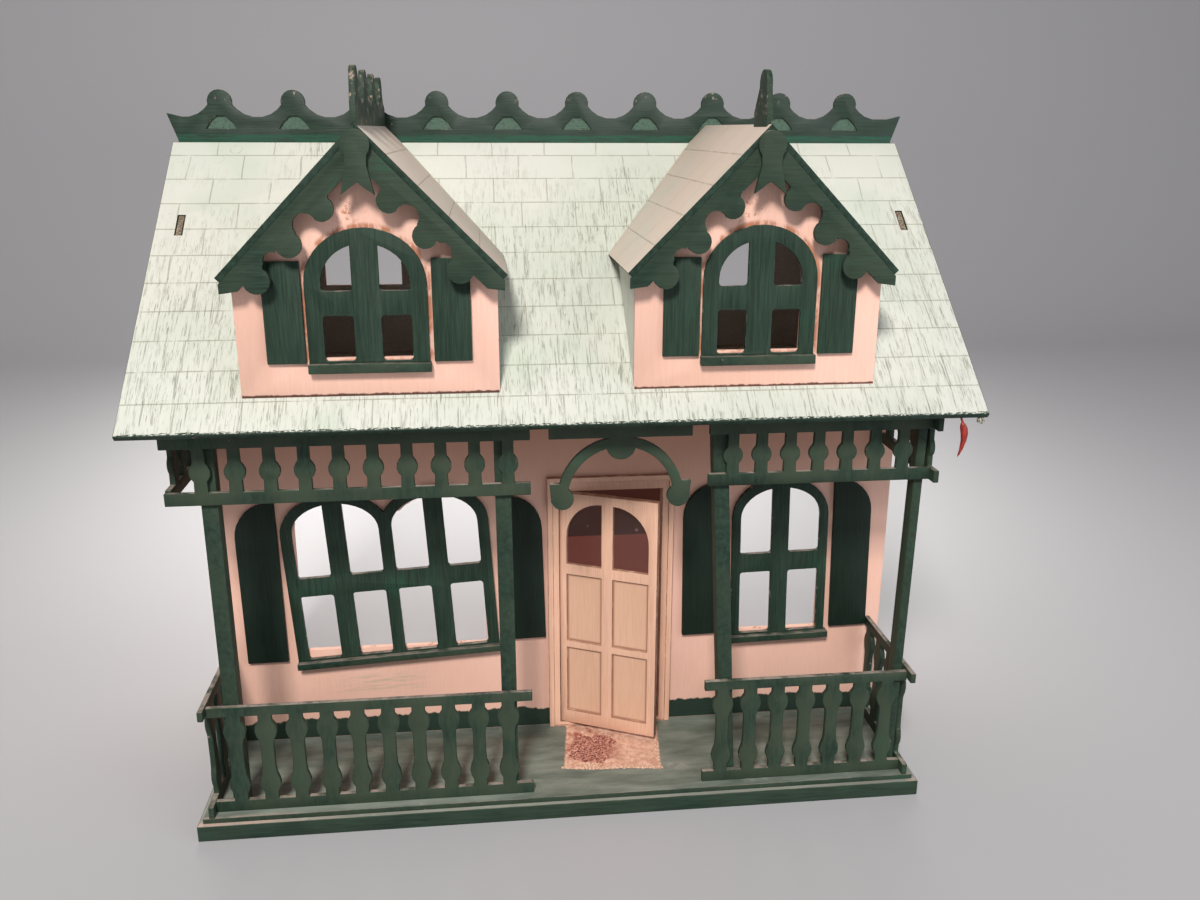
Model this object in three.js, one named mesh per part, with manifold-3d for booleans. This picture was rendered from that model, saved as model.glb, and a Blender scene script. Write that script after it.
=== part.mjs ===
import * as THREE from "three";
import * as BufferGeometryUtils from "three/addons/utils/BufferGeometryUtils.js";
import Module from "manifold-3d";

const wasm = await Module();
wasm.setup();

// Frame: x across the front, y to the back, z up. The front face of the
// front wall is y = 0 and the underside of the base board is z = 0.

// Driving dimensions, millimetres
const houseWidth = 440;
const roomDepth = 120;
const porchDepth = 85.4;
const plinthHeight = 9.9;
const roomHeight = 233.9;
const ply = 3.2;
const baseLip = 3;
const eavePastBase = 15;
const eaveAboveCeiling = 6;
const ridgeBack = 71.7;
const roofRise = 142.7;
const roofOverhang = 12;
const rearReach = 8;
const doorWidth = 67.2;
const doorHeight = 165.9;
const doorThickness = 5;
const doorAjar = 25;
const doorFromCentre = 0.3;
const postSize = 9;
const slimPost = 5.4;
const railSetback = 9.1;
const railInset = 9.9;
const railHeight = 69.5;
const friezeDrop = 40.5;
const balusterPitch = 17.65;
const dormerWidth = 134.5;
const dormerCentre = 103.4;
const dormerSetback = 17.4;
const dormerOverhang = 10.2;
const dormerEaveLip = 5.3;
const dormerEaveRise = 81.3;
const dormerAboveRidge = 9.8;
const crestInset = 3.5;
const knobPitch = 44.2;
const shutterWidth = 25.5;
const dormerShutterWidth = 19.8;
const paneRound = 1.8;
const runGap = 0.3;
const pinGap = 0.1;

// Levels and lines that follow from them
const halfWidth = houseWidth / 2;
const floorZ = plinthHeight + ply;
const ceilingZ = floorZ + roomHeight;
const upperFloorZ = ceilingZ + ply;
const eaveZ = ceilingZ + eaveAboveCeiling;
const ridgeZ = eaveZ + roofRise;
const eaveReach = porchDepth + eavePastBase;
const roofRun = eaveReach + ridgeBack;
const roofSlope = roofRise / roofRun;
const roofAngle = Math.atan(roofSlope);
const roofDrop = ply / Math.cos(roofAngle);
const roofHalf = halfWidth + roofOverhang;
const railFront = -porchDepth + railSetback;
const railBack = railFront + ply;
const roofTop = (y) => ridgeZ - Math.abs(y - ridgeBack) * roofSlope;
const roofUnder = (y) => roofTop(y) - roofDrop;

const group = new THREE.Group();
const paint = {
  green: { color: 0x28422f, roughness: 0.55 },
  pink: { color: 0xe3a68c, roughness: 0.7 },
  cream: { color: 0xdfe2cc, roughness: 0.75 },
  wood: { color: 0xdba987, roughness: 0.65 },
  deck: { color: 0x55665c, roughness: 0.6 },
  clear: { color: 0xcfd8d6, roughness: 0.1 },
  brass: { color: 0xb08d4a, roughness: 0.35, metalness: 1 },
  red: { color: 0xa8281e, roughness: 0.4 },
};

function place(name, geometry, finish) {
  const bare = geometry.index ? geometry : BufferGeometryUtils.mergeVertices(geometry);
  const mesh = new THREE.Mesh(bare, new THREE.MeshStandardMaterial({
    metalness: 0,
    ...paint[finish],
  }));
  mesh.name = name;
  group.add(mesh);
  return mesh;
}

// Booleans
function toSolid(geometry) {
  const bare = geometry.clone();
  bare.deleteAttribute("normal");
  bare.deleteAttribute("uv");
  const merged = BufferGeometryUtils.mergeVertices(bare, 1e-5);
  return new wasm.Manifold(new wasm.Mesh({
    numProp: 3,
    vertProperties: new Float32Array(merged.attributes.position.array),
    triVerts: new Uint32Array(merged.index.array),
  }));
}

function toGeometry(solid) {
  const mesh = solid.getMesh();
  const geometry = new THREE.BufferGeometry();
  const values = new Float32Array(mesh.vertProperties);
  geometry.setAttribute("position", new THREE.BufferAttribute(values, 3));
  geometry.setIndex(new THREE.BufferAttribute(new Uint32Array(mesh.triVerts), 1));
  geometry.computeVertexNormals();
  return geometry;
}

function cut(blank, ...tools) {
  let solid = toSolid(blank);
  for (const tool of tools) {
    solid = solid.subtract(toSolid(tool));
  }
  return toGeometry(solid);
}

function join(...pieces) {
  let solid = toSolid(pieces[0]);
  for (const piece of pieces.slice(1)) {
    solid = solid.add(toSolid(piece));
  }
  return toGeometry(solid);
}

function within(blank, keeper) {
  return toGeometry(toSolid(blank).intersect(toSolid(keeper)));
}

// Sheets: an outline given in two axes and raised along the third
function raise(outline, from, to) {
  const shape = new THREE.Shape(outline.map(([a, b]) => new THREE.Vector2(a, b)));
  const geometry = new THREE.ExtrudeGeometry(shape, {
    depth: to - from,
    bevelEnabled: false,
    steps: 1,
  });
  geometry.translate(0, 0, from);
  return geometry;
}

function extrude(outline, holes, depth) {
  const sheet = raise(outline, 0, depth);
  return holes.length ? cut(sheet, ...holes.map((hole) => raise(hole, -1, depth + 1))) : sheet;
}

// Outline in x and z, from y = front to y = front + thick
function facing(outline, front, thick = ply, holes = []) {
  const geometry = extrude(outline, holes, thick);
  geometry.applyMatrix4(new THREE.Matrix4().makeBasis(
    new THREE.Vector3(1, 0, 0),
    new THREE.Vector3(0, 0, 1),
    new THREE.Vector3(0, -1, 0),
  ));
  geometry.translate(0, front + thick, 0);
  return geometry;
}

// Outline in y and z, from x = left to x = left + thick
function sideways(outline, left, thick = ply, holes = []) {
  const geometry = extrude(outline, holes, thick);
  geometry.applyMatrix4(new THREE.Matrix4().makeBasis(
    new THREE.Vector3(0, 1, 0),
    new THREE.Vector3(0, 0, 1),
    new THREE.Vector3(1, 0, 0),
  ));
  geometry.translate(left, 0, 0);
  return geometry;
}

// Outline in x and y, from z = low to z = low + thick
function lying(outline, low, thick = ply) {
  const geometry = extrude(outline, [], thick);
  geometry.translate(0, 0, low);
  return geometry;
}

function block(x0, x1, y0, y1, z0, z1) {
  const geometry = new THREE.BoxGeometry(x1 - x0, y1 - y0, z1 - z0);
  geometry.translate((x0 + x1) / 2, (y0 + y1) / 2, (z0 + z1) / 2);
  return geometry;
}

function rod(x, y, z0, z1, radius, segments = 16) {
  const geometry = new THREE.CylinderGeometry(radius, radius, z1 - z0, segments);
  geometry.rotateX(Math.PI / 2);
  geometry.translate(x, y, (z0 + z1) / 2);
  return geometry;
}

function ellipse(cx, cz, rx, rz, from, to, count) {
  const points = [];
  for (let i = 0; i <= count; i += 1) {
    const turn = THREE.MathUtils.degToRad(from + (to - from) * i / count);
    points.push([cx + rx * Math.cos(turn), cz + rz * Math.sin(turn)]);
  }
  return points;
}

function ring(cx, cz, radius, count = 24) {
  return ellipse(cx, cz, radius, radius, 0, 360 - 360 / count, count - 1);
}

function box2(x0, x1, z0, z1) {
  return [[x0, z0], [x1, z0], [x1, z1], [x0, z1]];
}

// Box with small round corners, as a router leaves them
function eased(x0, x1, z0, z1, radius) {
  return [
    ...ellipse(x0 + radius, z0 + radius, radius, radius, 180, 270, 3),
    ...ellipse(x1 - radius, z0 + radius, radius, radius, 270, 360, 3),
    ...ellipse(x1 - radius, z1 - radius, radius, radius, 0, 90, 3),
    ...ellipse(x0 + radius, z1 - radius, radius, radius, 90, 180, 3),
  ];
}

function mirror(outline, about = 0) {
  return outline.map(([a, b]) => [2 * about - a, b]).reverse();
}

function tilt(outline, degrees, cx, cz) {
  const turn = THREE.MathUtils.degToRad(degrees);
  return outline.map(([a, b]) => [
    cx + (a - cx) * Math.cos(turn) - (b - cz) * Math.sin(turn),
    cz + (a - cx) * Math.sin(turn) + (b - cz) * Math.cos(turn),
  ]);
}

// Base and floors
const rearY = roomDepth;
place("base_board", block(
  -halfWidth, halfWidth, -porchDepth, rearY + baseLip, 0, plinthHeight,
), "green");
place("floor_board", block(
  -halfWidth + baseLip, halfWidth - baseLip, -porchDepth + baseLip, rearY, plinthHeight, floorZ,
), "deck");
place("second_floor", block(
  -halfWidth + ply, halfWidth - ply, railFront, rearY, ceilingZ, upperFloorZ,
), "pink");

// Doorway and the casing round it
const doorLeft = doorFromCentre;
const doorRight = doorLeft + doorWidth;
const jamb = 3.2;
const trim = 7.4;
const casingLeft = doorLeft - trim;
const casingRight = doorRight + trim;

// Ground floor windows: arched inserts laid on the wall, a little crooked.
// Each fills its bay between the wall end and the casing, with its shutters.
const leftBay = { end: 18.5, outerGap: 4, innerGap: 7.4, casing: 2 };
const rightBay = { end: 10.3, outerGap: 4.8, innerGap: 6.9, casing: 7.7 };
const glazed = (bay, wide) => (
  wide - bay.end - bay.outerGap - bay.innerGap - bay.casing - 2 * shutterWidth
) / 2;
const twinSpan = glazed(leftBay, casingLeft + halfWidth);
const twinOverlap = 3;
const stileWidth = { twin: 7, single: 5.6 };
const twin = {
  centre: -halfWidth + leftBay.end + shutterWidth + leftBay.outerGap + twinSpan,
  arch: (twinSpan - twinOverlap) / 2,
  outer: (twinSpan + twinOverlap) / 2,
  inner: (twinSpan + twinOverlap) / 2 - stileWidth.twin,
  rise: 25,
  innerRise: 19,
  bottom: floorZ + 61.4,
  spring: floorZ + 148.9,
  mullion: 12,
  transom: [floorZ + 106.9, floorZ + 119.4],
  lean: 3.2,
};
const singleSpan = glazed(rightBay, halfWidth - casingRight);
const single = {
  centre: halfWidth - rightBay.end - shutterWidth - rightBay.outerGap - singleSpan,
  outer: singleSpan,
  inner: singleSpan - stileWidth.single,
  rise: 27,
  innerRise: 20,
  bottom: floorZ + 62.9,
  spring: floorZ + 146.9,
  mullion: 11.4,
  transom: [floorZ + 108.4, floorZ + 121.4],
  lean: 1.2,
};
const leanAbout = floorZ + 101.9;

function archOutline(cx, half, bottom, spring, rise, count = 16) {
  return [
    [cx - half, bottom],
    [cx + half, bottom],
    ...ellipse(cx, spring, half, rise, 0, 180, count),
  ];
}

// Four panes under one arch
function archPanes(cx, w, bar = w.mullion) {
  const low = w.bottom + 1.2;
  const m = bar / 2;
  const start = THREE.MathUtils.radToDeg(Math.acos(m / w.inner));
  const r = Math.min(paneRound, (w.inner - m) / 2.5);
  const foot = w.transom[1] + r;
  const right = [
    ...ellipse(cx + m + r, foot, r, r, 180, 270, 3),
    ...ellipse(cx + w.inner - r, foot, r, r, 270, 360, 3),
    ...ellipse(cx, w.spring, w.inner, w.innerRise, 0, start, 8),
  ];
  const rightLow = eased(cx + m, cx + w.inner, low, w.transom[0], r);
  return [right, mirror(right, cx), rightLow, mirror(rightLow, cx)];
}

function twinOutline() {
  const c = twin.centre;
  const meet = THREE.MathUtils.radToDeg(Math.acos(twin.arch / twin.outer));
  return [
    [c - twin.arch - twin.outer, twin.bottom],
    [c + twin.arch + twin.outer, twin.bottom],
    ...ellipse(c + twin.arch, twin.spring, twin.outer, twin.rise, 0, 180 - meet, 16),
    ...ellipse(c - twin.arch, twin.spring, twin.outer, twin.rise, meet, 180, 16).slice(1),
  ];
}

const twinLean = (outline) => tilt(outline, twin.lean, twin.centre, leanAbout);
const singleLean = (outline) => tilt(outline, single.lean, single.centre, leanAbout);
const twinPanes = [
  ...archPanes(twin.centre - twin.arch, twin),
  ...archPanes(twin.centre + twin.arch, twin),
];
place("window_left", facing(
  twinLean(twinOutline()), -ply, ply, twinPanes.map(twinLean),
), "green");
place("window_right", facing(
  singleLean(archOutline(single.centre, single.outer, single.bottom, single.spring, single.rise)),
  -ply, ply, archPanes(single.centre, single).map(singleLean),
), "green");

const sillDepth = 7;
const sillHeight = 4.2;
place("window_sill_left", facing(twinLean(box2(
  twin.centre - twinSpan - 0.5, twin.centre + twinSpan + 1.5,
  twin.bottom - sillHeight, twin.bottom,
)), -sillDepth, sillDepth), "green");
place("window_sill_right", facing(singleLean(box2(
  single.centre - single.outer - 1, single.centre + single.outer + 2,
  single.bottom - sillHeight, single.bottom,
)), -sillDepth, sillDepth), "green");

// Shutters: the upper outside corner is rounded
function shutter(x0, x1, z0, z1, roundLeft, radius) {
  const reach = Math.min(radius, x1 - x0 - 1);
  const right = [
    [x0, z0],
    [x1, z0],
    ...ellipse(x1 - reach, z1 - radius, reach, radius, 0, 90, 8),
    [x0, z1],
  ];
  return roundLeft ? mirror(right, (x0 + x1) / 2) : right;
}

const shutterRound = 23;
const shutterAt = (name, x0, z0, z1, roundLeft, lean) => {
  const outline = shutter(x0, x0 + shutterWidth, z0, z1, roundLeft, shutterRound);
  place(name, facing(tilt(outline, lean, x0, z0), -ply), "green");
};
shutterAt(
  "shutter_left_outer", -halfWidth + leftBay.end, twin.bottom - 3, twin.spring + 19, true, 0.3,
);
shutterAt(
  "shutter_left_inner", casingLeft - leftBay.casing - shutterWidth,
  twin.bottom + 5.5, twin.spring + 18.5, false, 1.2,
);
shutterAt(
  "shutter_right_inner", casingRight + rightBay.casing,
  single.bottom + 1, single.spring + 24, true, 0.8,
);
shutterAt(
  "shutter_right_outer", halfWidth - rightBay.end - shutterWidth,
  single.bottom + 2.5, single.spring + 24.5, false, 1.5,
);

// Door: casing, leaf on two pivot pins, glazing
const sillTop = floorZ + 3;
const headZ = sillTop + doorHeight;
const trimDepth = 2.4;
const casingDepth = 9;
const pivotX = doorLeft + doorThickness / 2 + 0.4;
const pivotY = 0.1;
const pinRadius = 0.8;
const casingHole = box2(doorLeft, doorRight, sillTop, headZ);
const casingRing = facing(
  box2(doorLeft - jamb, doorRight + jamb, floorZ, headZ + jamb), 0, casingDepth, [casingHole],
);
const casingTrim = facing(
  box2(casingLeft, casingRight, floorZ, headZ + trim + 1.8),
  -trimDepth, trimDepth, [casingHole],
);
const casingBead = facing(
  box2(casingLeft, casingRight, floorZ, headZ + trim + 1.8),
  -trimDepth - 1, 1,
  [box2(casingLeft + 3.4, casingRight - 3.4, floorZ + 0.6, headZ + trim - 1.6)],
);
place("door_casing", cut(
  join(casingRing, casingTrim, casingBead),
  rod(pivotX, pivotY, headZ - 1, headZ + 2.8, pinRadius + pinGap, 16),
  rod(pivotX, pivotY, sillTop - 2.4, sillTop + 1, pinRadius + pinGap, 16),
), "wood");

// The leaf is drawn shut, along x from the pivot, then turned ajar
const leafLow = sillTop + 0.6;
const leafHigh = headZ - 0.6;
const leafTall = leafHigh - leafLow;
const leafWide = doorWidth - 0.8;
const t2 = doorThickness / 2;
const leafX = pivotX - t2;
const stile = 5.6;
const rail = 7.5;
const paneWide = (leafWide - 2 * stile - rail) / 2;
const rails = { bottom: 9.5, between: 5, lock: 7, top: 5.7 };
const glazedTall = 43;
const panelTall = (leafTall - rails.bottom - rails.between - rails.lock - rails.top - glazedTall) / 2;
const lowPanel = [leafLow + rails.bottom, leafLow + rails.bottom + panelTall - 0.8];
const highPanel = [lowPanel[1] + rails.between, lowPanel[1] + rails.between + panelTall + 0.8];
const glazedLow = highPanel[1] + rails.lock;
const glazedHigh = glazedLow + glazedTall;
const columns = [leafX + stile, leafX + stile + paneWide + rail];
const quarter = (x0, roundLeft) => {
  const outline = [
    [x0, glazedLow],
    [x0 + paneWide, glazedLow],
    ...ellipse(x0, glazedHigh - paneWide, paneWide, paneWide, 0, 90, 9),
  ];
  return roundLeft ? mirror(outline, x0 + paneWide / 2) : outline;
};
const edge = [
  ...ellipse(pivotX, pivotY, t2, t2, 90, 270, 8),
  [leafX + leafWide, pivotY - t2],
  [leafX + leafWide, pivotY + t2],
];
const leafBlank = lying(edge, leafLow, leafTall);
const leafTools = [];
for (const [index, x0] of columns.entries()) {
  leafTools.push(facing(quarter(x0, index === 0), pivotY - t2 - 1, doorThickness + 2));
  for (const [z0, z1] of [lowPanel, highPanel]) {
    const panel = box2(x0, x0 + paneWide, z0, z1);
    leafTools.push(facing(panel, pivotY - t2 - 1, 2.1));
    leafTools.push(facing(panel, pivotY + t2 - 1.1, 2.1));
  }
}
const glassOutline = box2(
  columns[0] - 2, columns[1] + paneWide + 2, glazedLow - 2, glazedHigh + 2,
);
leafTools.push(facing(glassOutline, pivotY + 0.6, t2));
leafTools.push(rod(pivotX, pivotY, leafHigh - 6, leafHigh + 1, pinRadius, 12));
leafTools.push(rod(pivotX, pivotY, leafLow - 1, leafLow + 6, pinRadius, 12));

function ajar(geometry) {
  geometry.translate(-pivotX, -pivotY, 0);
  geometry.rotateZ(THREE.MathUtils.degToRad(-doorAjar));
  geometry.translate(pivotX, pivotY, 0);
  return geometry;
}

place("door_leaf", ajar(cut(leafBlank, ...leafTools)), "wood");
place("door_glass", ajar(facing(glassOutline, pivotY + 0.6, 1.2)), "clear");
place("door_pin_top", ajar(rod(pivotX, pivotY, leafHigh - 6, headZ + 2.2, pinRadius, 12)), "brass");
place("door_pin_bottom", ajar(
  rod(pivotX, pivotY, sillTop - 1.8, leafLow + 6, pinRadius, 12),
), "brass");

// Walls
const twinHole = [
  [twin.centre - twin.arch - twin.inner - 1, twin.bottom + 3.5],
  [twin.centre + twin.arch + twin.inner + 1, twin.bottom + 3.5],
  ...ellipse(twin.centre + twin.arch, twin.spring, twin.inner + 1, 20, 0, 150, 12),
  ...ellipse(twin.centre - twin.arch, twin.spring, twin.inner + 1, 20, 30, 180, 12),
];
const singleHole = archOutline(
  single.centre, single.inner + 0.8, single.bottom + 2.4, single.spring, 21,
);
place("front_wall", cut(
  facing(box2(-halfWidth, halfWidth, floorZ, ceilingZ), 0),
  facing(box2(doorLeft - jamb, doorRight + jamb, floorZ - 1, headZ + jamb), -1, ply + 2),
  facing(twinHole, -1, ply + 2),
  facing(singleHole, -1, ply + 2),
), "pink");

const tabMid = 14.7;
const tabHalf = 7.8 * Math.cos(roofAngle);
const tab = (grow, low, high) => {
  const rise = (y) => ridgeZ - (ridgeBack - y) * roofSlope;
  const nx = -Math.sin(roofAngle);
  const nz = Math.cos(roofAngle);
  const a = tabMid - tabHalf - grow;
  const b = tabMid + tabHalf + grow;
  return [
    [a + nx * low, rise(a) + nz * low],
    [b + nx * low, rise(b) + nz * low],
    [b + nx * high, rise(b) + nz * high],
    [a + nx * high, rise(a) + nz * high],
  ];
};
const gable = [
  [ply, floorZ],
  [rearY, floorZ],
  [rearY, roofUnder(rearY)],
  [ridgeBack, roofUnder(ridgeBack)],
  [railFront, roofUnder(railFront)],
  [railFront, ceilingZ],
  [ply, ceilingZ],
];
for (const [side, left] of [["left", -halfWidth], ["right", halfWidth - ply]]) {
  place(`wall_${side}`, join(
    sideways(gable, left),
    sideways(tab(0, -ply - 2, -0.2), left),
  ), "pink");
}

const hallPast = { left: 33.3, right: 23.5 };
place("hall_back_wall", facing(
  box2(doorLeft - hallPast.left, doorRight + hallPast.right, floorZ, ceilingZ), rearY - ply,
), "pink");

const atticTop = roofUnder(rearY) - 0.1;
const atticArch = (cx, half, tall, rise, headRoom) => {
  const spring = atticTop - headRoom - rise;
  return archOutline(cx, half, spring - tall, spring, rise, 12);
};
place("attic_back_wall", facing(
  box2(-halfWidth + ply, halfWidth - ply, upperFloorZ, atticTop),
  rearY - ply, ply,
  [
    atticArch(-halfWidth + 94, 26, 18, 22, 13.2),
    atticArch(halfWidth - 81, 23, 24, 20, 15.2),
  ],
), "pink");

// Main roof
const nx = Math.sin(roofAngle) * ply;
const nz = Math.cos(roofAngle) * ply;
const crestFront = ridgeBack - ply / 2;
const crestBack = ridgeBack + ply / 2;
const frontSlope = [
  [-eaveReach, eaveZ],
  [-eaveReach + nx, eaveZ - nz],
  [crestFront, roofUnder(crestFront)],
  [crestFront, roofTop(crestFront)],
];
const rearEnd = rearY + rearReach;
const rearSlope = [
  [crestBack, roofUnder(crestBack)],
  [rearEnd - nx, roofTop(rearEnd) - nz],
  [rearEnd, roofTop(rearEnd)],
  [crestBack, roofTop(crestBack)],
];

const dormers = [["left", -dormerCentre], ["right", dormerCentre]];
const dormerHalf = dormerWidth / 2;
const dormerFront = -eaveReach + dormerSetback;
const panelFront = dormerFront - dormerOverhang;
const dormerBack = dormerFront + ply;
const dormerEave = upperFloorZ + dormerEaveRise;
const dormerApex = ridgeZ + dormerAboveRidge;
const dormerSpan = dormerHalf + dormerEaveLip;
const dormerSlope = (dormerApex - dormerEave) / dormerSpan;
const dormerAngle = Math.atan(dormerSlope);
const dormerDrop = ply / Math.cos(dormerAngle);
const dormerUnder = (dx) => dormerApex - dormerDrop - Math.abs(dx) * dormerSlope;


// Where a dormer's ceiling meets the front slope, at dx from its middle
const valley = (dx) => (dormerUnder(dx) - eaveZ) / roofSlope - eaveReach;
const valleyGap = 6;
const roofTools = [];
for (const left of [-halfWidth, halfWidth - ply]) {
  roofTools.push(sideways(tab(runGap, -ply - 2, 2), left - runGap, ply + 2 * runGap));
}
for (const [, cx] of dormers) {
  const wide = dormerHalf - ply - 2;
  const narrow = 18.6;
  roofTools.push(lying([
    [cx - wide, dormerBack + 1.5],
    [cx + wide, dormerBack + 1.5],
    [cx + wide, valley(wide) - valleyGap],
    [cx + narrow, valley(narrow) - valleyGap],
    [cx - narrow, valley(narrow) - valleyGap],
    [cx - wide, valley(wide) - valleyGap],
  ], eaveZ - 20, roofRise + 40));
}
place("roof_front", cut(
  sideways(frontSlope, -roofHalf, 2 * roofHalf), ...roofTools,
), "cream");
place("roof_rear", sideways(rearSlope, -roofHalf, 2 * roofHalf), "cream");

// Everything above the upper face of the front slope and ahead of the cresting
const aboveSlope = (y0, y1) => sideways([
  [y0, eaveZ + (y0 + eaveReach) * roofSlope],
  [y1, eaveZ + (y1 + eaveReach) * roofSlope],
  [y1, ridgeZ + 200],
  [y0, ridgeZ + 200],
], -2 * halfWidth, 4 * halfWidth);

// Cresting: round knobs joined by hollow scallops, arched sinkings below
const knobFoot = knobPitch / 2 - 3.1;
function crestOutline(start, end, foot, knobs, top) {
  const line = [[end, foot], [end + 5.5, foot + 16], [end - 3, foot + 14]];
  for (const x of [...knobs].reverse()) {
    line.push([x + knobFoot, foot + 14]);
    line.push([x + 13.5, foot + 15.8]);
    line.push([x + 9.6, foot + 18.6]);
    line.push(...ellipse(x, top - 7.4, 7.4, 7.4, -12, 192, 10));
    line.push([x - 9.6, foot + 18.6]);
    line.push([x - 13.5, foot + 15.8]);
    line.push([x - knobFoot, foot + 14]);
  }
  line.push([start + 3, foot + 14], [start - 5.5, foot + 16], [start, foot]);
  return line;
}

const hollow = (x, z) => [
  [x - 9.5, z], [x + 9.5, z], [x + 6.8, z + 4.2], [x + 2.6, z + 8],
  [x - 2.6, z + 8], [x - 6.8, z + 4.2],
];
const crestFoot = roofUnder(ridgeBack);
const crestReach = roofHalf - crestInset;
const knobShift = 3;
const knobRoom = 2 * (crestReach - 3 - knobShift - knobFoot);
const knobCount = Math.floor(knobRoom / knobPitch) + 1;
const knobs = [];
for (let i = 0; i < knobCount; i += 1) {
  knobs.push((i - (knobCount - 1) / 2) * knobPitch - knobShift);
}
place("ridge_crest", cut(
  facing(
    crestOutline(-crestReach, crestReach, ridgeZ - 0.3, knobs, ridgeZ + 29.8).concat([
      [-crestReach, crestFoot], [crestReach, crestFoot],
    ]),
    crestFront,
  ),
  ...knobs.map((x) => facing(hollow(x, ridgeZ + 6.5), crestFront - 1, 2.4)),
), "green");

// Turned-profile fretwork: flat balusters between two rails
const railProfile = [
  [0, 4], [0.08, 4], [0.13, 5.4], [0.19, 6.1], [0.25, 5.4], [0.31, 4.2],
  [0.4, 3.8], [0.66, 3.8], [0.71, 4.4], [0.76, 5.8], [0.82, 6.5],
  [0.88, 5.9], [0.93, 4], [1, 3.9],
];
const friezeProfile = [
  [0, 3.7], [0.26, 3.5], [0.33, 4.9], [0.42, 5.7], [0.52, 5.6], [0.61, 4.6],
  [0.68, 3.3], [1, 3.2],
];

function fretwork({ x0, x1, z0, z1, low, high, centres, profile }) {
  const zb = z0 + low;
  const zt = z1 - high;
  const right = (x) => profile.map(([t, w]) => [x + w, zb + (zt - zb) * t]);
  const left = (x) => profile.map(([t, w]) => [x - w, zb + (zt - zb) * t]).reverse();
  const first = centres[0];
  const last = centres[centres.length - 1];
  const outline = [
    [x0, z0], [x1, z0], [x1, zb], ...right(last), [x1, zt], [x1, z1],
    [x0, z1], [x0, zt], ...left(first), [x0, zb],
  ];
  const holes = [];
  for (let i = 0; i + 1 < centres.length; i += 1) {
    holes.push([...right(centres[i]), ...left(centres[i + 1])]);
  }
  return { outline, holes };
}

function spread(x0, x1, startIn, endIn) {
  const count = Math.max(2, Math.round((x1 - x0 - startIn - endIn) / balusterPitch) + 1);
  const step = (x1 - x0 - startIn - endIn) / (count - 1);
  return Array.from({ length: count }, (_, i) => x0 + startIn + step * i);
}

const railSpec = { z0: floorZ, z1: floorZ + railHeight, low: 7.2, high: 6.2, profile: railProfile };
const friezeSpec = (drop) => ({
  z0: ceilingZ - drop, z1: ceilingZ, low: 7.2, high: 8.6, profile: friezeProfile,
});
const entry = { left: 21.9, right: 15.6, friezeLeft: 20.7, friezeRight: 13.1 };
const porch = {
  left: -halfWidth + railInset,
  leftGap: doorLeft - entry.left,
  rightGap: doorRight + entry.right,
  right: halfWidth - railInset,
};
for (const [name, x0, x1, startIn, endIn] of [
  ["rail_front_left", porch.left, porch.leftGap, 15, 14.5],
  ["rail_front_right", porch.rightGap, porch.right, 11.5, 12],
]) {
  const { outline, holes } = fretwork({ ...railSpec, x0, x1, centres: spread(x0, x1, startIn, endIn) });
  place(name, facing(outline, railFront, ply, holes), "green");
}
const friezeEnds = {
  left: -halfWidth + 1.8,
  leftGap: doorLeft - entry.friezeLeft,
  rightGap: doorRight + entry.friezeRight,
  right: halfWidth - 8.4,
};
for (const [name, x0, x1, startIn, endIn, drop] of [
  ["frieze_front_left", friezeEnds.left, friezeEnds.leftGap, 20, 12.4, friezeDrop],
  ["frieze_front_right", friezeEnds.rightGap, friezeEnds.right, 13.9, 17, friezeDrop - 1.5],
]) {
  const { outline, holes } = fretwork({
    ...friezeSpec(drop), x0, x1, centres: spread(x0, x1, startIn, endIn),
  });
  place(name, facing(outline, railFront, ply, holes), "green");
}

// Side rails and friezes run from the wall past the front ones
const sidePast = 6;
const sideStart = railFront - sidePast;
for (const [name, left] of [
  ["rail_side_left", porch.left - ply],
  ["rail_side_right", porch.right],
]) {
  const { outline, holes } = fretwork({
    ...railSpec, z1: floorZ + railHeight + 1.2, x0: sideStart, x1: 0,
    centres: spread(sideStart, 0, 19, 9),
  });
  place(name, sideways(outline, left, ply, holes), "green");
}
for (const [name, left, start] of [
  ["frieze_side_left", friezeEnds.left, railBack],
  ["frieze_side_right", friezeEnds.right, sideStart],
]) {
  const { outline, holes } = fretwork({
    ...friezeSpec(friezeDrop - 1), x0: start, x1: 0, centres: spread(start, 0, 14, 9),
  });
  place(name, sideways(outline, left, ply, holes), "green");
}

// Posts stand behind the rails, some a little out of true. Each is set out by
// the face nearer the house end, at its foot and at its head.
function post(name, foot, head, inward, wide = postSize) {
  const across = inward * wide;
  const outline = [
    [foot, floorZ], [foot + across, floorZ], [head + across, ceilingZ], [head, ceilingZ],
  ];
  place(name, facing(inward > 0 ? outline : [...outline].reverse(), railBack, postSize), "green");
}
post("post_left_corner", porch.left + 9.4, friezeEnds.left + ply + 15.1, 1);
post("post_left_inner", porch.leftGap - 8.7, porch.leftGap - 9.9, -1);
post("post_right_inner", porch.rightGap + 12, porch.rightGap - 0.6, 1);
post("post_right_corner", porch.right - 3.2, friezeEnds.right - 1.9, -1, slimPost);

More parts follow.
